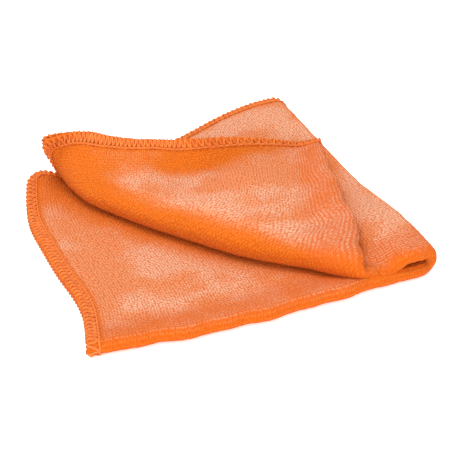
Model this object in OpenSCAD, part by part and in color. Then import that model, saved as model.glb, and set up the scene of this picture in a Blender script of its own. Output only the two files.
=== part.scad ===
// Quick dry towel: a square of pile cloth with a sewn edge, folded in half twice, with the
// top corner turned back over a soft diagonal roll. Millimetres, +Z up.
// The origin is on the floor, under the centre of the folded square.
// The cloth is drawn crease by crease: flat layers, the folds that join them, and sewn edges.

/* [Cloth] */
// Side of the square cloth, hem to hem
cloth_side = 400; // [300:10:600]
// Thickness of the pile cloth
cloth_t = 2.6; // [1.5:0.1:4]
// Air between two layers that lie on each other
layer_gap = 0.3; // [0.2:0.1:1]
// Radius of the cloth's four rounded corners
corner_r = 12; // [8:1:30]

/* [Sewn edge] */
// Width of the overlocked edge
hem_w = 5.5; // [4:0.5:7.5]

/* [Turned corner] */
// Distance from the folded square's left side to the diagonal fold, along the back edge
fold_from_left_back = 4; // [2:1:12]
// Distance from the folded square's right side to the diagonal fold, along the front edge
fold_from_right_front = 44; // [30:1:80]
// Outer radius of the roll that the diagonal fold makes
roll_r = 16; // [10:0.5:22]
// Clearance round the roll, which turns when the corner is lifted
roll_gap = 0.5; // [0.3:0.1:1]
// Air between the turned corner's tip and the stack it lies on
rest_gap = 0.6; // [0.4:0.1:2]

/* [Hidden] */
$fn = 64;

quarter = cloth_side / 2;
half = quarter / 2;
pitch = cloth_t + layer_gap;
fold_mid = pitch - layer_gap / 2;
fold_r = fold_mid;
slit_r = layer_gap / 2;
stack_top = 4 * pitch - layer_gap;
far = 2 * cloth_side;
eps = 0.01;

// Ends of the diagonal fold, on the back edge and on the front edge
fold_a = [-half + fold_from_left_back, half];
fold_b = [half - fold_from_right_front, -half];
fold_run = fold_b - fold_a;
fold_len = norm(fold_run);
fold_turn = atan2(fold_run.y, fold_run.x);
fold_out = [fold_run.y, -fold_run.x] / fold_len;
// Distance from the diagonal fold to the corner that is turned back
corner_reach = (fold_b.x + half) * abs(fold_out.x);

// The roll stands on the bottom panel, so its lowest line is level with the third layer
axis_z = 2 * pitch + roll_r;
core_r = roll_r - pitch;
// The turned corner slopes from the roll's crest down to the stack
crest_under = axis_z + core_r - cloth_t;
slope = asin((crest_under - stack_top - rest_gap) / corner_reach);

cloth_colour = [0.98, 0.52, 0.27];
inside_colour = [0.96, 0.46, 0.2];
fold_colour = [0.93, 0.42, 0.14];
thread_colour = [0.9, 0.36, 0.08];

// ---- outlines, seen from above, of the cloth folded to a square ----

// The whole folded square, with the one rounded corner that the cloth has there
module square_2d(inset = 0) {
    corner = corner_r - inset;
    difference() {
        translate([-half + inset, -half]) square([quarter - inset, quarter - inset]);
        difference() {
            translate([-half + inset - eps, half - inset - corner]) square([corner + eps, corner + eps]);
            translate([-half + inset + corner, half - inset - corner]) circle(corner);
        }
    }
}

// The half plane on one side of the line from the rounded corner's centre to its tip
module side_of_mitre_2d(side) {
    translate([-half + corner_r, half - corner_r]) rotate(135)
        translate([-far / 2, side > 0 ? 0 : -far]) square([far, far]);
}

// The flat band of a sewn edge: side +1 is the left side, -1 the back
module hem_2d(side) {
    intersection() {
        difference() {
            square_2d();
            square_2d(hem_w);
        }
        side_of_mitre_2d(side);
    }
}

// The half plane beyond the diagonal fold, where the corner lay before it was turned back
module beyond_fold_2d() {
    translate(fold_a) rotate(fold_turn) translate([-far / 2, -far]) square([far, far]);
}

module mirrored_at_fold() {
    translate(fold_a) mirror(fold_out) translate(-fold_a) children();
}

// ---- places ----

// Children are drawn across the roll, with x level and y up, and extruded along it
module along_roll() {
    translate([fold_a.x, fold_a.y, axis_z]) rotate([0, 0, fold_turn]) rotate([90, 0, 90]) children();
}

// What the roll needs to turn freely, taken out of the layers behind it
module roll_space() {
    along_roll() translate([0, 0, -half]) linear_extrude(fold_len + quarter) {
        circle(roll_r + roll_gap);
        translate([-far, -far / 2]) square([far, far]);
    }
}

// Children lie in the folded square's plan at the roll's crest, and tip down to the stack
module at_crest(height) {
    translate([fold_a.x, fold_a.y, axis_z]) rotate([0, 0, fold_turn]) rotate([-slope, 0, 0])
        translate([0, 0, height]) rotate([0, 0, -fold_turn]) translate([-fold_a.x, -fold_a.y, 0])
            children();
}

// ---- sub-parts of the stack ----

module flat_layer(level) {
    translate([0, 0, level * pitch]) linear_extrude(cloth_t) square_2d(hem_w);
}

module flat_hem(level, side) {
    translate([0, 0, level * pitch]) linear_extrude(cloth_t) hem_2d(side);
}

// Half of a tube that joins two layers, from x = 0 to x = length, bulging to -Y
module half_tube(length, outer, inner) {
    rotate([90, 0, 90]) linear_extrude(length) difference() {
        circle(outer);
        circle(inner);
        translate([0, -far / 2]) square([far, far]);
    }
}

module bottom_outer_layer() {
    color(cloth_colour) flat_layer(0);
}

module bottom_inner_layer() {
    color(inside_colour) flat_layer(1);
}

module bottom_front_fold() {
    color(fold_colour) translate([-half + hem_w, -half, fold_mid]) half_tube(quarter - hem_w, fold_r, slit_r);
}

module upper_inner_layer() {
    color(inside_colour) difference() {
        flat_layer(2);
        roll_space();
    }
}

module upper_outer_layer() {
    color(cloth_colour) difference() {
        flat_layer(3);
        roll_space();
    }
}

module upper_front_fold() {
    color(fold_colour) difference() {
        translate([-half, -half, 2 * pitch + fold_mid]) half_tube(quarter, fold_r, slit_r);
        roll_space();
    }
}

module end_fold(outer, inner) {
    translate([half, -half, stack_top / 2]) rotate(90) half_tube(quarter, outer, inner);
}

module inner_end_fold() {
    color(inside_colour) end_fold(fold_r, slit_r);
}

module outer_end_fold() {
    color(cloth_colour) end_fold(stack_top / 2, stack_top / 2 - cloth_t);
}

module bottom_outer_side_hem() {
    color(thread_colour) {
        flat_hem(0, 1);
        translate([-half, -half, fold_mid]) half_tube(hem_w, fold_r, slit_r);
    }
}

module bottom_outer_back_hem() {
    color(thread_colour) flat_hem(0, -1);
}

module bottom_inner_side_hem() {
    color(thread_colour) flat_hem(1, 1);
}

module bottom_inner_back_hem() {
    color(thread_colour) flat_hem(1, -1);
}

module upper_inner_back_hem() {
    color(thread_colour) difference() {
        flat_hem(2, -1);
        roll_space();
    }
}

module upper_outer_back_hem() {
    color(thread_colour) difference() {
        flat_hem(3, -1);
        roll_space();
    }
}

// ---- sub-parts of the turned corner ----

// One layer of the roll: an arc from its floor side, round the front, to its sloping crest
module roll_layer(outer) {
    intersection() {
        along_roll() translate([0, 0, -half]) linear_extrude(fold_len + quarter) difference() {
            circle(outer);
            circle(outer - cloth_t);
            polygon([[0, 0], [0, -far], [far, -far], [far, far], [far * sin(slope), far * cos(slope)]]);
        }
        linear_extrude(far) square_2d();
    }
}

// One flat layer of the corner beyond the roll, with its top at the given radius of the roll
module corner_layer(top_r) {
    at_crest(top_r - cloth_t) linear_extrude(cloth_t) mirrored_at_fold() intersection() {
        square_2d(hem_w);
        beyond_fold_2d();
    }
}

module corner_hem(top_r) {
    at_crest(top_r - cloth_t) linear_extrude(cloth_t) mirrored_at_fold() intersection() {
        hem_2d(1);
        beyond_fold_2d();
    }
}

module roll_inner_layer() {
    color(inside_colour) roll_layer(roll_r);
}

module roll_outer_layer() {
    color(cloth_colour) roll_layer(core_r);
}

module corner_inner_layer() {
    color(inside_colour) corner_layer(roll_r);
}

module corner_outer_layer() {
    color(cloth_colour) corner_layer(core_r);
}

module corner_front_fold() {
    color(fold_colour) at_crest(roll_r - fold_mid) mirrored_at_fold()
        translate([-half + hem_w, -half, 0]) half_tube(fold_b.x + half - hem_w, fold_r, slit_r);
}

module corner_inner_side_hem() {
    color(thread_colour) corner_hem(roll_r);
}

module corner_outer_side_hem() {
    color(thread_colour) corner_hem(core_r);
}

bottom_outer_layer();
bottom_inner_layer();
bottom_front_fold();
upper_inner_layer();
upper_outer_layer();
upper_front_fold();
inner_end_fold();
outer_end_fold();
bottom_outer_side_hem();
bottom_outer_back_hem();
bottom_inner_side_hem();
bottom_inner_back_hem();
upper_inner_back_hem();
upper_outer_back_hem();
roll_inner_layer();
roll_outer_layer();
corner_inner_layer();
corner_outer_layer();
corner_front_fold();
corner_inner_side_hem();
corner_outer_side_hem();
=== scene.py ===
"""Quick dry towel: one square of pile cloth folded in half twice, its top corner turned back.

The cloth is laid out flat, in millimetres, and folded by formula: a runs from the left edge of
the bottom panel to the free edge of the turned corner, b from one sewn edge to the other, and
depth through the thickness. The threads of the sewn edge are folded by the same formulas.
"""
import math

import bpy
import numpy as np
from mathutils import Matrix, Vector
from mathutils.bvhtree import BVHTree


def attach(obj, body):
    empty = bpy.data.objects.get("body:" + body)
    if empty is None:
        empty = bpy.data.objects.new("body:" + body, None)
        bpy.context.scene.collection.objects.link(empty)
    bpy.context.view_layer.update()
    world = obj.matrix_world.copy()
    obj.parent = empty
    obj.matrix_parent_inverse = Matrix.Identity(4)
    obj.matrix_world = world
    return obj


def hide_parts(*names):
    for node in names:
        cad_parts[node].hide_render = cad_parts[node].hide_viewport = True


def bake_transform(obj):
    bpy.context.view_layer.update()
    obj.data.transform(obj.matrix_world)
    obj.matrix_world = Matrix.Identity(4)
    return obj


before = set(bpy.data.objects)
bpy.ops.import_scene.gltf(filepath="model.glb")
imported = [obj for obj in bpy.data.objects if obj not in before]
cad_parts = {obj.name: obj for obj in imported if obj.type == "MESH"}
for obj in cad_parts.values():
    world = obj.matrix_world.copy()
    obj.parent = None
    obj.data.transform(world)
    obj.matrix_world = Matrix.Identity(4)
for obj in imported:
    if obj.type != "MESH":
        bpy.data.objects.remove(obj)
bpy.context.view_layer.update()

# ---------------------------------------------------------------- sizes, in millimetres
SIDE = 400.0                # the cut cloth
HALF_SIDE = SIDE / 2
THICK = 2.6                 # through the pile
PITCH = 2.9                 # from one layer's middle to the next
CORNER_R = 12.0             # rounding of the cloth's corners
HEM_PINCH = 0.7             # of the thickness is left where the edge is sewn
STITCH = 3.7                # one stitch of the sewn edge, along it
NEEDLE_IN = 5.0             # from the edge to the needle's line
LOOPER_R = 0.75             # radius of the looper threads
NEEDLE_R = 0.85 * LOOPER_R  # radius of the needle's thread
THREAD_SIDES = 5            # of the tube that each thread is
CREST = 8.0                 # half width of the painted highlight along the turned corner's fold
END_FOLD = 196.6            # a at the middle of the end fold
FOLDED = 192.0              # side of the folded square, end fold left out
MID_1 = THICK / 2           # height of the lowest layer's middle
UPPER_MID = MID_1 + 2.5 * PITCH

# where the four corners of the folded square lie, as the stack leans and narrows to the back
FRONT_LEFT = np.array([-96.0, -96.0])
FRONT_RIGHT = np.array([92.8, -96.0])
BACK_RIGHT = np.array([116.4, 103.5])
BACK_LEFT = np.array([-64.5, 82.5])

# the diagonal that the corner turns over: u runs along it from the front, n across it
DIAGONAL_FRONT = np.array([55.0, -95.0])
DIAGONAL_ANGLE = math.radians(125.5)
ALONG = np.array([math.cos(DIAGONAL_ANGLE), math.sin(DIAGONAL_ANGLE)])
OUTWARD = np.array([-ALONG[1], ALONG[0]])
CORNER_SLIDE = 12.0         # how far the turned corner slips forwards along the diagonal

# the turned corner's middle line, cut across the diagonal at stations u: each row holds n and
# height at the distances s along the cloth from where it leaves the stack
ROLL_S = [0, 5, 10, 20, 30, 45, 60, 80, 105, 130]
ROLL = {
    -15: [(-4, 8.6), (-1, 10.7), (-2.5, 14), (-12, 15.3), (-22, 15.8),
          (-37, 15.8), (-52, 15.3), (-72, 15), (-97, 15), (-122, 15)],
    5: [(2, 8.6), (6, 10.7), (5, 14.5), (-4.5, 16.3), (-14.5, 16.8),
        (-29.5, 16.8), (-45.5, 16), (-67.5, 15), (-93.5, 15), (-119.5, 15)],
    30: [(7, 8.6), (11.5, 10.5), (12.3, 14.5), (5, 19), (-6, 20),
         (-24, 19), (-44, 17), (-70, 15), (-96, 15), (-122, 15)],
    60: [(11, 8.6), (16, 10.5), (18, 15.5), (11, 22.5), (-1, 23.5),
         (-20, 23), (-40, 21), (-65, 18), (-95, 16.5), (-120, 15)],
    85: [(10, 8.6), (15, 10.5), (17.5, 16), (10, 24), (-2, 25),
         (-21, 25), (-41, 24), (-65, 22), (-95, 20), (-123, 18)],
    104: [(9, 8.6), (13.5, 10.5), (15.5, 15), (9, 22), (-2, 23),
          (-17, 23), (-33, 24), (-51, 30), (-70, 39), (-88, 48)],
    118: [(8, 8.6), (12.5, 10.5), (14.5, 15), (8, 21.5), (-2, 22.5),
          (-15, 23), (-25, 28), (-38, 39), (-54, 53), (-70, 66)],
    143: [(4, 8.6), (8.5, 10.5), (10.5, 15), (5, 21.5), (-3, 25),
          (-14, 31), (-26, 38), (-40, 48), (-58, 60), (-76, 72)],
    165: [(-1, 8.6), (3.5, 10.5), (6, 14.5), (3, 22), (-3, 28),
          (-16, 37), (-29, 45), (-45, 55), (-65, 68), (-85, 81)],
    185: [(-13, 8.6), (-8, 10), (-5, 14), (-4, 23), (-7, 31),
          (-13, 43), (-20, 54), (-30, 70), (-42, 90), (-54, 110)],
    205: [(-28, 8.6), (-24, 10), (-21, 13.5), (-13, 22), (-1, 32),
          (18, 45), (37, 58), (61, 78), (91, 103), (121, 128)],
}


# ---------------------------------------------------------------- folding
def smooth(value, low, high):
    """0 below low, 1 above high, with an even ease between."""
    t = np.clip((value - low) / (high - low), 0, 1)
    return t * t * (3 - 2 * t)


def spline(knots, rows, x):
    """A smooth curve through rows[k] at knots[k], straight past its ends, read at each x."""
    knots = np.asarray(knots, float)
    step = np.diff(knots)
    rise = np.diff(rows, axis=0) / step[:, None, None]
    inner = (rise[:-1] * step[1:, None, None] + rise[1:] * step[:-1, None, None])
    inner = inner / (step[:-1] + step[1:])[:, None, None]
    slope = np.concatenate([rise[:1], inner, rise[-1:]])
    k = np.clip(np.searchsorted(knots, x) - 1, 0, len(knots) - 2)
    each = np.arange(len(x)) if rows.shape[1] > 1 else np.zeros(len(x), int)
    t = (x - knots[k]) / step[k]
    past = (t - np.clip(t, 0, 1))[:, None]
    t = np.clip(t, 0, 1)[:, None]
    h = step[k][:, None]
    start, end = rows[k, each], rows[k + 1, each]
    leave, arrive = slope[k, each], slope[k + 1, each]
    curve = ((2 * t**3 - 3 * t**2 + 1) * start + (t**3 - 2 * t**2 + t) * h * leave
             + (3 * t**2 - 2 * t**3) * end + (t**3 - t**2) * h * arrive)
    return curve + past * h * np.where(past > 0, arrive, leave)


LEAD = 10.0                 # length of flat cloth put twice before each station's row
ROLL_KNOTS = [-2 * LEAD, -LEAD] + ROLL_S
ROLL_ROWS = np.array([[(row[0][0] - 2 * LEAD, row[0][1]), (row[0][0] - LEAD, row[0][1])] + row
                      for row in ROLL.values()], float).transpose(1, 0, 2)
LEAVE_N = ROLL_ROWS[2, :, :1].reshape(-1, 1, 1)


def past_roll_line(u, n):
    """Distance beyond the line where the cloth leaves the stack to form the roll."""
    return n - spline(list(ROLL), LEAVE_N, u)[:, 0]


def roll_surface(u, n):
    """The middle of the two upper layers after the corner is turned back."""
    s = past_roll_line(u, n)
    slid = u - CORNER_SLIDE * smooth(s, 0, 40)
    stations = np.stack([spline(ROLL_KNOTS, ROLL_ROWS[:, j:j + 1], s) for j in range(len(ROLL))])
    across = spline(list(ROLL), stations, slid)
    flat = DIAGONAL_FRONT + slid[:, None] * ALONG + across[:, :1] * OUTWARD
    return np.column_stack([flat, across[:, 1]])


def end_fold_air(y):
    """Extra height that the springy end fold keeps between the panels."""
    return 2.5 + 3.5 * smooth(-y, 18, 65) + 10.5 * smooth(y, -10, 100)


def front_fold_air(a):
    """Extra height that the front fold keeps, so its edge stays plump."""
    return 2.2 + 4.5 * smooth(a, 252, 300) * (1 - 0.6 * smooth(a, 350, 400))


def packet(a, b, depth):
    """The cloth folded in half twice, straight and square.

    Gives x, y and height, the angle turned at the end fold, and the height above a packed stack.
    """
    air = front_fold_air(a)
    front_arc = math.pi * (PITCH + air) / 2
    turn = math.pi * np.clip(b / front_arc + 0.5, 0, 1)
    open_by = air * (1 - smooth(np.abs(b), 3, 22))
    radius = (PITCH + open_by) / 2 + depth
    lift = MID_1 + (PITCH + open_by) / 2 - radius * np.cos(turn)
    y = np.maximum(np.abs(b) - front_arc / 2, 0) - radius * np.sin(turn)
    air = end_fold_air(y - FOLDED / 2)
    end_arc = math.pi * (PITCH + air / 2)
    axis = MID_1 + 1.5 * PITCH + air / 2
    half_turn = math.pi * np.clip((a - END_FOLD) / end_arc + 0.5, 0, 1)
    x = END_FOLD - end_arc / 2 + (axis - lift) * np.sin(half_turn)
    before = np.minimum(a - (END_FOLD - end_arc / 2), 0)
    after = np.maximum(a - (END_FOLD + end_arc / 2), 0)
    x = x + before - after
    height = axis - (axis - lift) * np.cos(half_turn)
    # the upper panel settles on to the stack before it reaches the roll
    to_roll = 133 - 0.0029 * np.clip(186 - y, 0, None) ** 2
    sunk = air * smooth(after, 8, 0.75 * to_roll)
    above = (air - sunk) * (half_turn > math.pi - 1e-9)
    return x, y, height - sunk, half_turn, above


def plan(x, y, half_turn):
    """Leans and bows the straight, square packet to where its edges lie."""
    p, q = x / FOLDED, y / HALF_SIDE
    upper = half_turn / math.pi
    ahead = np.clip(p, 0, 1)
    # the front edge bows forwards and waves, the left edge waves, the end fold bulges
    front = 7.8 * np.sin(math.pi * ahead) + 0.8 * np.sin(2 * math.pi * ahead) + 4 * ahead**4
    front = front * (1 - upper) + 0.6 * np.sin(29 * ahead) + 0.4 * np.sin(53 * ahead + 1)
    front = front + 4 * smooth(p, 0.6, 1) * upper
    side = 6 * np.sin(2 * math.pi * q) - 2 * np.sin(math.pi * q)
    side = (side - 3 * smooth(q, 0.12, 0.38) * (1 - smooth(q, 0.38, 0.64))) * (1 - upper)
    bulge = 2.8 * np.sin(math.pi * np.clip((q + 0.08) / 0.5, 0, 1)) * smooth(p, 0.5, 1)
    bow = np.column_stack([side * np.clip(1 - p, 0, 1) ** 2 + bulge,
                           -front * np.clip(1 - q, 0, 1.1) ** 2])
    p, q = p[:, None], q[:, None]
    return bow + ((1 - p) * (1 - q) * FRONT_LEFT + p * (1 - q) * FRONT_RIGHT
                  + p * q * BACK_RIGHT + (1 - p) * q * BACK_LEFT)


def across_diagonal(xy):
    """Distances along the turned corner's diagonal and across it."""
    offset = xy - DIAGONAL_FRONT
    return offset @ ALONG, offset @ OUTWARD


def place(a, b, depth):
    """A point of the flat cloth, on the folded towel, in millimetres."""
    a, b, depth = np.broadcast_arrays(*(np.asarray(v, float) for v in (a, b, depth)))
    x, y, height, half_turn, above = packet(a, b, depth)
    xy = plan(x, y, half_turn)
    point = np.column_stack([xy, height])
    u, n = across_diagonal(xy)
    upper = half_turn > math.pi - 1e-9
    turned = upper & (past_roll_line(u, n) > -LEAD)
    if turned.any():
        u, n, step = u[turned], n[turned], 0.4
        middle = roll_surface(u, n)
        run = roll_surface(u + step, n) - roll_surface(u - step, n)
        reach = roll_surface(u, n + step) - roll_surface(u, n - step)
        normal = np.cross(run, reach)
        normal /= np.linalg.norm(normal, axis=1)[:, None]
        offset = height[turned] - above[turned] - UPPER_MID
        point[turned] = middle + normal * offset[:, None]
        point[turned, 2] += above[turned]
    # the bottom panel's back left corner curls up
    toward_corner = 0.94 * xy[:, 1] - 0.35 * xy[:, 0]
    curl = 9 * smooth(toward_corner, 60, 100) * smooth(-xy[:, 0], 35, 65)
    point[:, 2] += curl * (1 - half_turn / math.pi)
    return point


# ---------------------------------------------------------------- the cloth
def steps(start, end, size):
    """Even steps of about the given size, without the last end."""
    return np.linspace(start, end, max(2, round(abs(end - start) / size) + 1))[:-1]


def round_corner(a, b):
    """Draws the four square corners in to their arcs."""
    da = a - np.clip(a, CORNER_R, SIDE - CORNER_R)
    db = b - np.clip(b, CORNER_R - HALF_SIDE, HALF_SIDE - CORNER_R)
    reach = np.maximum(np.abs(da), np.abs(db))
    length = np.maximum(np.hypot(da, db), 1e-9)
    k = np.where((da != 0) & (db != 0), reach / length, 1)
    return a - da + da * k, b - db + db * k


CELL = 2.0                  # of the cloth's mesh, where it lies flat
FOLD_CELL = 0.7             # and where it bends
side_b = np.concatenate([steps(-HALF_SIDE, -5, CELL), steps(-5, 5, FOLD_CELL),
                         steps(5, HALF_SIDE, CELL), [HALF_SIDE]])


def cut_line(b):
    """The a at which each line across the cloth leaves the stack for the roll."""
    low = np.full(len(b), END_FOLD + 30)
    high = np.full(len(b), SIDE - 2.0)
    for _ in range(40):     # halvings, far past the finest step that matters
        middle = (low + high) / 2
        x, y, height, half_turn, above = packet(middle, b, 0 * b)
        past = past_roll_line(*across_diagonal(plan(x, y, half_turn))) > 0
        high = np.where(past, middle, high)
        low = np.where(past, low, middle)
    return (low + high) / 2


cut_a = cut_line(side_b)


def grid_points(a_rows):
    """Flat positions on a grid, from one row of a for each b in side_b."""
    a = np.array(a_rows)
    b = np.repeat(side_b[:, None], a.shape[1], axis=1)
    return a, b


def inside_edge(a, b):
    """Distance in from the nearest sewn edge."""
    return np.minimum(np.minimum(a, SIDE - a), HALF_SIDE - np.abs(b))


def pinch(a, b):
    """The sewn edge presses the pile flat."""
    return HEM_PINCH + (1 - HEM_PINCH) * smooth(inside_edge(a, b), 3, 9)


def lump(a, b):
    """The pile stands a little uneven."""
    fine = np.sin(1.15 * a + 0.8 * np.sin(0.31 * b)) * np.sin(1.3 * b + 0.9 * np.sin(0.23 * a))
    broad = np.sin(0.41 * a + 1.1 * np.sin(0.12 * b)) * np.sin(0.37 * b + 1.3 * np.sin(0.15 * a))
    return 0.14 * fine + 0.12 * broad


def stored(collection, what, width, kind=float):
    """Reads one property of every item of a mesh's collection, as rows of the given width."""
    values = np.empty(width * len(collection), kind)
    collection.foreach_get(what, values)
    return values.reshape(-1, width)


def loop_vertices(mesh):
    """The vertex at each corner of each face."""
    return stored(mesh.loops, "vertex_index", 1, int).ravel()


def new_piece(name, points, faces, map_name, flat):
    """A smooth mesh object from millimetres, each point with its place on a flat map."""
    mesh = bpy.data.meshes.new(name)
    mesh.from_pydata(points / 1000, [], faces)
    uv = mesh.uv_layers.new(name=map_name)
    uv.data.foreach_set("uv", (flat[loop_vertices(mesh)] / 1000).ravel())
    mesh.shade_smooth()
    piece = bpy.data.objects.new(name, mesh)
    bpy.context.scene.collection.objects.link(piece)
    return piece


def outward_round(a, b):
    """Unit directions out of a closed line of flat positions, at each of its points."""
    way_a, way_b = (np.roll(v, -1) - np.roll(v, 1) for v in (a, b))
    size = np.hypot(way_a, way_b)
    out_a, out_b = way_b / size, -way_a / size
    if ((a - a.mean()) * out_a + (b - b.mean()) * out_b).mean() < 0:
        return -out_a, -out_b
    return out_a, out_b


RIM_ANGLES = (30, 60, 90, 120, 150)     # round the edge, from the top face to the bottom one


def sheet_mesh(name, a, b, open_side):
    """Two faces of cloth and a rounded rim round every edge, from a grid of flat positions.

    The rim is left flat along open_side, the column of the grid where the cloth is cut.
    """
    rows, columns = a.shape
    count = rows * columns
    index = np.arange(count).reshape(rows, columns)
    flat_a, flat_b = (v.ravel() for v in round_corner(a, b))
    half = THICK / 2 * pinch(flat_a, flat_b) + lump(flat_a, flat_b)
    points = [place(flat_a, flat_b, half), place(flat_a, flat_b, -half)]
    flat = [np.column_stack([flat_a, flat_b])] * 2
    rim = np.concatenate([index[0, :-1], index[:-1, -1], index[-1, :0:-1], index[:0:-1, 0]])
    rim_a, rim_b = flat_a[rim], flat_b[rim]
    out_a, out_b = outward_round(rim_a, rim_b)
    rounded = np.where(np.isin(rim, index[:, open_side]), 0, half[rim])
    rings = [rim]
    for angle in map(math.radians, RIM_ANGLES):
        a_here = rim_a + out_a * rounded * math.sin(angle)
        b_here = rim_b + out_b * rounded * math.sin(angle)
        points.append(place(a_here, b_here, half[rim] * math.cos(angle)))
        flat.append(np.column_stack([a_here, b_here]))
        rings.append(2 * count + (len(rings) - 1) * len(rim) + np.arange(len(rim)))
    rings.append(rim + count)
    quads = np.stack([index[:-1, :-1], index[1:, :-1], index[1:, 1:], index[:-1, 1:]], -1)
    quads = quads.reshape(-1, 4)
    faces = [quads, quads[:, ::-1] + count]
    for upper, lower in zip(rings, rings[1:]):
        faces.append(np.stack([upper, np.roll(upper, -1), np.roll(lower, -1), lower], -1))
    points = np.concatenate(points)
    points[:, 2] = np.maximum(points[:, 2], 0)
    piece = new_piece(name, points, np.concatenate(faces).tolist(), "cloth", np.concatenate(flat))
    bpy.ops.object.select_all(action="DESELECT")
    piece.select_set(True)
    bpy.context.view_layer.objects.active = piece
    bpy.ops.object.mode_set(mode="EDIT")
    bpy.ops.mesh.select_all(action="SELECT")
    bpy.ops.mesh.normals_make_consistent(inside=False)
    bpy.ops.object.mode_set(mode="OBJECT")
    return piece


BEND = (184, 212)           # the stretch of a that is bent round the end fold
STACK_COLUMNS = 76          # of mesh points between that bend and the cut
CORNER_COLUMNS = 91         # and between the cut and the free edge
bend_a = np.concatenate([steps(0, BEND[0], CELL), steps(*BEND, FOLD_CELL)])
stack_rows = [np.concatenate([bend_a, np.linspace(BEND[1], end, STACK_COLUMNS)]) for end in cut_a]
corner_rows = [np.linspace(start, SIDE, CORNER_COLUMNS) for start in cut_a]
stack_cloth = sheet_mesh("folded_cloth", *grid_points(stack_rows), -1)
corner_cloth = sheet_mesh("turned_corner_cloth", *grid_points(corner_rows), 0)


def evened(values, edges, rounds):
    """Spreads values along the edges of a mesh."""
    neighbours = np.bincount(edges.ravel(), minlength=len(values))
    for _ in range(rounds):
        total = np.bincount(edges[:, 0], values[edges[:, 1]], len(values))
        total += np.bincount(edges[:, 1], values[edges[:, 0]], len(values))
        values = (values + total / neighbours) / 2
    return values


def roll_shade(xy):
    """Painted shade on the bottom panel in front of the roll, in a strip that widens towards the
    back.
    """
    u, n = across_diagonal(xy)
    roll_front = np.interp(u, list(ROLL), [max(row)[0] for row in ROLL.values()])
    width = 5 + 0.17 * np.clip(u - 70, 0, 120)
    return 0.8 * (1 - smooth(n - roll_front, 0.3 * width, width))


# rays from the cloth find where its own folds cover it, for its painted shade
RAY_START, RAY_REACH = 0.0006, 0.05     # off the surface and how far out, in metres


def sky_rays():
    """Directions spread over the open sky: three steep, five at a slant and seven low."""
    return [Vector((math.cos(turn) * lean, math.sin(turn) * lean, 1)).normalized()
            for lean, turns in ((0.35, 3), (1.1, 5), (2.2, 7))
            for turn in np.arange(turns) * math.tau / turns]


def paleness(vertex, tree, rays):
    """How pale one point is painted: painted highlight where it is level, painted shade where folds
    hide the sky.
    """
    level = vertex.normal.z
    if level <= 0.7:
        return 0
    # painted shade: the fewer clear rays, the less of the painted highlight
    start = vertex.co + vertex.normal * RAY_START
    clear = sum(tree.ray_cast(start, ray, RAY_REACH)[0] is None for ray in rays) / len(rays)
    return smooth(level, 0.78, 0.98) * (0.2 + 0.8 * smooth(clear, 0.45, 0.95))


def paint_light(pieces):
    """Stores on each point of the cloth its painted light: painted highlight on level, open cloth
    and painted shade where folds cover it.
    """
    points, faces = [], []
    for piece in pieces:
        faces += [[v + len(points) for v in face.vertices] for face in piece.data.polygons]
        points += [v.co.copy() for v in piece.data.vertices]
    tree, rays = BVHTree.FromPolygons(points, faces), sky_rays()
    for piece in pieces:
        mesh = piece.data
        flat = np.zeros((len(mesh.vertices), 2))
        flat[loop_vertices(mesh)] = stored(mesh.uv_layers["cloth"].data, "uv", 2) * 1000
        pale = np.array([paleness(vertex, tree, rays) for vertex in mesh.vertices], float)
        if piece is stack_cloth:
            # painted shade: less painted highlight on the bottom panel in front of the roll, and
            # along the front fold
            xy = stored(mesh.vertices, "co", 3)[:, :2] * 1000
            pale *= 1 - roll_shade(xy) * (flat[:, 0] < HALF_SIDE)
            pale *= 0.65 + 0.35 * smooth(np.abs(flat[:, 1]), 8, 20)
        else:
            # painted highlight along the crest of the turned corner's fold
            crest = np.exp(-(flat[:, 1] / CREST) ** 2)
            pale = np.maximum(pale, crest * smooth(flat[:, 0], 250, 275))
        pale = evened(pale, stored(mesh.edges, "vertices", 2, int), 10)
        # the painted highlight fades out before the sewn edge
        pale *= smooth(inside_edge(*flat.T), NEEDLE_IN + 0.5, NEEDLE_IN + 4)
        mesh.attributes.new("painted_light", "FLOAT", "POINT").data.foreach_set("value", pale)


paint_light([stack_cloth, corner_cloth])


# ---------------------------------------------------------------- materials
TUFT = 0.0016               # from one tuft of the pile to the next, in metres
STITCH_ROW = 0.0018         # from one opened row of stitches to the next
PILE_PIT = (0.58, 0.090, 0.004, 1)      # between the tufts, darker with painted shade
PILE_TIP = (0.72, 0.168, 0.012, 1)      # at their tips
PILE_PAINTED_HIGHLIGHT = (0.79, 0.47, 0.31, 1)       # at their tips, painted highlight
THREAD_DEEP = (0.54, 0.096, 0.006, 1)
THREAD_LIGHT = (0.71, 0.18, 0.018, 1)


class Value:
    """A socket of a material's node; arithmetic on it adds Math nodes."""

    def __init__(self, finish, socket):
        self.finish, self.socket = finish, socket

    def maths(self, operation, *values):
        """One Math node on the given values."""
        return self.finish.node("ShaderNodeMath", {"operation": operation},
                                dict(enumerate(values)))

    def __add__(self, other):
        return self.maths("ADD", self, other)

    def __radd__(self, other):
        return self.maths("ADD", other, self)

    def __sub__(self, other):
        return self.maths("SUBTRACT", self, other)

    def __rsub__(self, other):
        return self.maths("SUBTRACT", other, self)

    def __mul__(self, other):
        return self.maths("MULTIPLY", self, other)

    def __rmul__(self, other):
        return self.maths("MULTIPLY", other, self)

    def __abs__(self):
        return self.maths("ABSOLUTE", self)

    def sine(self):
        """Its sine, from radians."""
        return self.maths("SINE", self)

    def eased(self, low, high):
        """0 at low and 1 at high, with an even ease between."""
        return self.finish.node("ShaderNodeMapRange", {"interpolation_type": "SMOOTHSTEP"},
                                {"Value": self, "From Min": low, "From Max": high})


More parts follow.
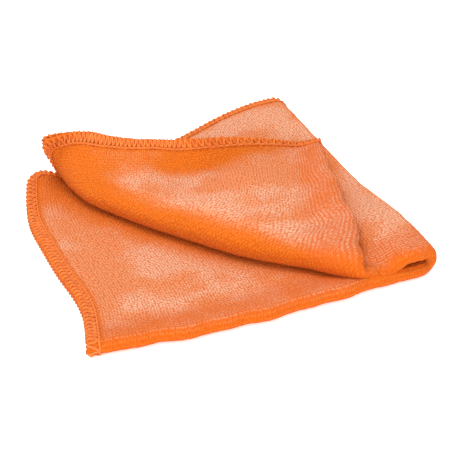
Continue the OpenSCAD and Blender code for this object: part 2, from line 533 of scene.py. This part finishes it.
class Finish:
    """A new material, whose nodes node() adds and whose shader's sockets shade() fills."""

    def __init__(self, name):
        self.material = bpy.data.materials.new(name)
        self.material.use_nodes = True
        self.tree = self.material.node_tree

    def fill(self, sockets, inputs):
        """Gives each named or numbered socket its value, or links it."""
        for key, value in inputs.items():
            if isinstance(value, Value):
                self.tree.links.new(value.socket, sockets[key])
            else:
                sockets[key].default_value = value

    def node(self, kind, settings, inputs, output=0):
        """Adds one node: its settings first, then its sockets; gives one output."""
        made = self.tree.nodes.new(kind)
        for key, value in settings.items():
            setattr(made, key, value)
        self.fill(made.inputs, inputs)
        return Value(self, made.outputs[output])

    def flat_map(self, name):
        """The place of each point on the flat cloth, or along a thread."""
        return self.node("ShaderNodeUVMap", {"uv_map": name}, {})

    def noise(self, place, scale, detail, roughness, output=0):
        """Noise over a flat map."""
        return self.node("ShaderNodeTexNoise", {"noise_dimensions": "2D"},
                         {"Vector": place, "Scale": scale, "Detail": detail,
                          "Roughness": roughness}, output)

    def mix(self, kind, factor, first, second):
        """Mixes two vectors or two colours."""
        a, b, result = {"VECTOR": (4, 5, 1), "RGBA": (6, 7, 2)}[kind]
        return self.node("ShaderNodeMix", {"data_type": kind},
                         {0: factor, a: first, b: second}, result)

    def bump(self, height, strength, distance):
        """Relief from a height between 0 and 1, distance metres deep."""
        return self.node("ShaderNodeBump", {}, {"Strength": strength, "Distance": distance,
                                                "Height": height})

    def shade(self, inputs):
        """Fills the shader's sockets and gives the finished material."""
        self.fill(self.tree.nodes["Principled BSDF"].inputs, inputs)
        return self.material


def pile_cloth():
    """Terry pile: tufts in near-straight rows, darker between them with painted shade, paler with
    painted highlight where the stored painted light is high.
    """
    cloth = Finish("pile cloth")
    flat = cloth.flat_map("cloth")
    # the rows are pulled about a little
    drift = cloth.noise(flat, 110, 2, 0.5, output="Color")
    pulled = cloth.mix("VECTOR", 0.0006, flat, drift)
    apart = cloth.node("ShaderNodeTexVoronoi", {"voronoi_dimensions": "2D"},
                       {"Vector": pulled, "Scale": 1 / TUFT, "Randomness": 0.5})
    tuft = 1 - apart.eased(0.12, 0.62)
    # the bend along the middle of the cloth opens its rows of stitches, whose gaps take the painted
    # shade of the pits
    across = cloth.node("ShaderNodeSeparateXYZ", {}, {"Vector": flat}, output="Y")
    bent = 1 - abs(across).eased(0.016, 0.030)
    row = (across * (math.tau / STITCH_ROW)).sine() * 0.5 + 0.5
    tuft = tuft * (1 - bent * row * 0.9)
    fibres = cloth.noise(flat, 1150, 3, 0.7).eased(0.3, 0.7)
    nap = cloth.noise(flat, 26, 4, 0.6).eased(0.37, 0.63)
    painted_light = cloth.node("ShaderNodeAttribute", {"attribute_name": "painted_light"}, {}, output="Fac")
    # painted highlight: the tip colour pales as the stored painted light rises, in random patches
    # from the nap
    tip = cloth.mix("RGBA", painted_light * (0.45 + nap * 0.6), PILE_TIP, PILE_PAINTED_HIGHLIGHT)
    # painted shade: between the tufts and in the opened rows the colour falls to the darker pit
    # colour
    colour = cloth.mix("RGBA", tuft * 0.65 + fibres * (0.5 - bent * 0.25), PILE_PIT, tip)
    return cloth.shade({
        "Base Color": colour,
        "Normal": cloth.bump(tuft * 0.7 + fibres * 0.35, 0.9, 0.0008),
        "Roughness": 0.95,
        "Specular IOR Level": 0.1,
        "Sheen Weight": 0.08,
        "Sheen Roughness": 0.4,
        "Sheen Tint": (1.0, 0.6, 0.3, 1),
    })


def edge_thread():
    """Bulky spun thread, speckled along its length."""
    yarn = Finish("edge thread")
    speckle = yarn.noise(yarn.flat_map("thread"), 900, 3, 0.6)
    return yarn.shade({
        "Base Color": yarn.mix("RGBA", speckle.eased(0.3, 0.7), THREAD_DEEP, THREAD_LIGHT),
        "Normal": yarn.bump(speckle, 0.6, 0.0004),
        "Roughness": 0.7,
    })


# ---------------------------------------------------------------- the sewn edge
ARC_POINTS = 13             # round each of the cloth's corners


def outline():
    """The cloth's edge, from the cut on one long side right round and back to it.

    Gives the distance along it at each of its points, and their flat place and outward direction.
    """
    near, far, side = CORNER_R, SIDE - CORNER_R, HALF_SIDE - CORNER_R
    cut = (cut_a[0], -HALF_SIDE, 0, -1)
    points = [cut]
    for a, b, start in ((near, -side, 270), (near, side, 180), (far, side, 90), (far, -side, 0)):
        for angle in np.radians(np.linspace(start, start - 90, ARC_POINTS)):
            out_a, out_b = math.cos(angle), math.sin(angle)
            points.append((a + CORNER_R * out_a, b + CORNER_R * out_b, out_a, out_b))
    points = np.array(points + [cut])
    along = np.concatenate([[0], np.cumsum(np.hypot(*np.diff(points[:, :2], axis=0).T))])
    return along, points


edge_along, edge_points = outline()
whole_edge = edge_along[-1]
# the part of it that stays with the stack: both long sides up to the cut, and the end between
stack_edge = 2 * cut_a[0] + SIDE - (4 - math.pi) * CORNER_R


def on_edge(along, inward, depth):
    """A point near the cloth's edge: how far round it, how far in from it, and how deep."""
    a, b, out_a, out_b = (np.interp(along, edge_along, column) for column in edge_points.T)
    return place(a - out_a * inward, b - out_b * inward, depth)


def thread(name, along, inward, depth, radius):
    """A thin tube, closed at its ends, through points given round the edge."""
    middle = on_edge(along, inward, depth)
    up = on_edge(along, inward, depth + 0.3) - middle
    ahead = np.gradient(middle, axis=0)
    side = np.cross(ahead, up)
    side /= np.linalg.norm(side, axis=1)[:, None]
    up = np.cross(side, ahead)
    up /= np.linalg.norm(up, axis=1)[:, None]
    turns = np.linspace(0, math.tau, THREAD_SIDES, endpoint=False)
    rings = np.stack([middle + radius * (math.cos(t) * side + math.sin(t) * up) for t in turns], 1)
    rings[:, :, 2] = np.maximum(rings[:, :, 2], 0)
    index = np.arange(len(middle) * THREAD_SIDES).reshape(-1, THREAD_SIDES)
    turned = np.roll(index, -1, axis=1)
    quads = np.stack([index[:-1], turned[:-1], turned[1:], index[1:]], -1).reshape(-1, 4)
    faces = quads.tolist() + [index[0, ::-1].tolist(), index[-1].tolist()]
    flat = np.column_stack([np.repeat(along, THREAD_SIDES),
                            np.tile(np.arange(THREAD_SIDES), len(middle))])
    return new_piece(name, rings.reshape(-1, 3), faces, "thread", flat)


# one stitch of each kind: how far along it, how far in from the edge, and how deep
LOOPER_STITCH = [(0.0, NEEDLE_IN, 0.6), (0.14, 3.9, 1.3), (0.3, 2.5, 0.6), (0.44, 1.1, 1.3),
                 (0.56, -0.9, 0.1), (0.72, 1.1, 1.1), (0.8, 2.5, 0.5), (0.9, 3.9, 1.1)]
NEEDLE_STITCH = [(0.0, NEEDLE_IN + 0.2, 0.5), (0.2, NEEDLE_IN + 0.2, 0.95),
                 (0.5, NEEDLE_IN + 0.2, 1.05), (0.8, NEEDLE_IN + 0.2, 0.95)]
LOOPER_DEPTH = HEM_PINCH * THICK / 2 + 0.35
NEEDLE_DEPTH = LOOPER_DEPTH + 0.2


def stitch_line(name, start, end, stitch, depth, radius):
    """One thread of the sewn edge, its stitch repeated from start to end round the edge."""
    stitches = np.arange(round((end - start) / STITCH))
    pitch = (end - start) / len(stitches)
    forwards, inward, level = np.array(stitch).T
    along = (start + pitch * (stitches[:, None] + forwards)).ravel()
    inward, level = np.tile(inward, len(stitches)), np.tile(level, len(stitches))
    return thread(name, along, inward, level * depth, radius)


def sewn_edge(body, start, end):
    """The three threads along one stretch of the edge."""
    return [stitch_line(f"{body}_upper_looper", start, end, LOOPER_STITCH, LOOPER_DEPTH, LOOPER_R),
            stitch_line(f"{body}_lower_looper", start, end, LOOPER_STITCH, -LOOPER_DEPTH, LOOPER_R),
            stitch_line(f"{body}_needle_thread", start, end, NEEDLE_STITCH, NEEDLE_DEPTH, NEEDLE_R)]


stack_threads = sewn_edge("folded_stack", 0, stack_edge)
corner_threads = sewn_edge("turned_corner", stack_edge, whole_edge)

# ---------------------------------------------------------------- materials, the stack's body and the parts left hidden
# the points on both faces of the cloth along the cut, where the turned corner leaves the stack
cut_faces = np.concatenate([place(cut_a, side_b, side * THICK / 2) for side in (-1, 1)])

orange_yarn = edge_thread()
for piece in stack_threads + corner_threads:
    piece.data.materials.append(orange_yarn)
orange_pile = pile_cloth()
for piece in (stack_cloth, corner_cloth):
    piece.data.materials.append(orange_pile)
for piece in [stack_cloth] + stack_threads:
    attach(piece, "folded_stack")
for piece in [corner_cloth] + corner_threads:
    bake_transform(piece)
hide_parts("bottom_outer_layer", "bottom_inner_layer", "bottom_front_fold",
            "upper_inner_layer", "upper_outer_layer", "upper_front_fold",
            "inner_end_fold", "outer_end_fold",
            "bottom_outer_side_hem", "bottom_outer_back_hem", "bottom_inner_side_hem",
            "bottom_inner_back_hem", "upper_inner_back_hem", "upper_outer_back_hem")
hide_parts("roll_inner_layer", "roll_outer_layer", "corner_inner_layer",
            "corner_outer_layer", "corner_front_fold", "corner_inner_side_hem",
            "corner_outer_side_hem")

# ---------------------------------------------------------------- camera, lights and floor
VIEW_AZIMUTH, VIEW_ELEVATION = math.radians(-25.0), math.radians(28.0)
VIEW_DISTANCE = 0.67813
LENS, SENSOR = 94.3, 36
SHIFT_X, SHIFT_Y = 0.0916, -0.0043      # the towel sits a little off the middle of the view

scene = bpy.context.scene
flat_reach = math.cos(VIEW_ELEVATION)
back = Vector((math.sin(VIEW_AZIMUTH) * flat_reach, -math.cos(VIEW_AZIMUTH) * flat_reach,
               math.sin(VIEW_ELEVATION)))
camera = bpy.data.objects.new("camera", bpy.data.cameras.new("camera"))
scene.collection.objects.link(camera)
camera.location = back * VIEW_DISTANCE
camera.rotation_euler = back.to_track_quat("Z", "Y").to_euler()
camera.data.sensor_width, camera.data.lens = SENSOR, LENS
camera.data.shift_x, camera.data.shift_y = SHIFT_X, SHIFT_Y
scene.camera = camera
scene.view_settings.view_transform = "Standard"


def area_light(name, location, size, power):
    """A soft square light that faces the towel."""
    light = bpy.data.objects.new(name, bpy.data.lights.new(name, "AREA"))
    scene.collection.objects.link(light)
    light.location = location
    light.rotation_euler = Vector(location).to_track_quat("Z", "Y").to_euler()
    light.data.size, light.data.energy = size, power


area_light("overhead", (-0.3, 0.1, 1.2), 0.7, 10.5)
area_light("front fill", (-0.6, -1.1, 0.25), 0.9, 10)
scene.world = bpy.data.worlds.new("studio")
scene.world.use_nodes = True
sky = scene.world.node_tree.nodes["Background"].inputs
sky["Color"].default_value = (1, 1, 1, 1)
sky["Strength"].default_value = 1.0

bpy.ops.object.select_all(action="DESELECT")
bpy.ops.mesh.primitive_plane_add(size=6, location=(0, 0, 0))
floor = bpy.context.object
floor.name = "floor"
floor.data.materials.append(Finish("pale floor").shade({
    "Base Color": (0.95, 0.95, 0.95, 1),
    "Roughness": 0.8,
    "Emission Color": (1, 1, 1, 1),
    "Emission Strength": 0.4,
}))
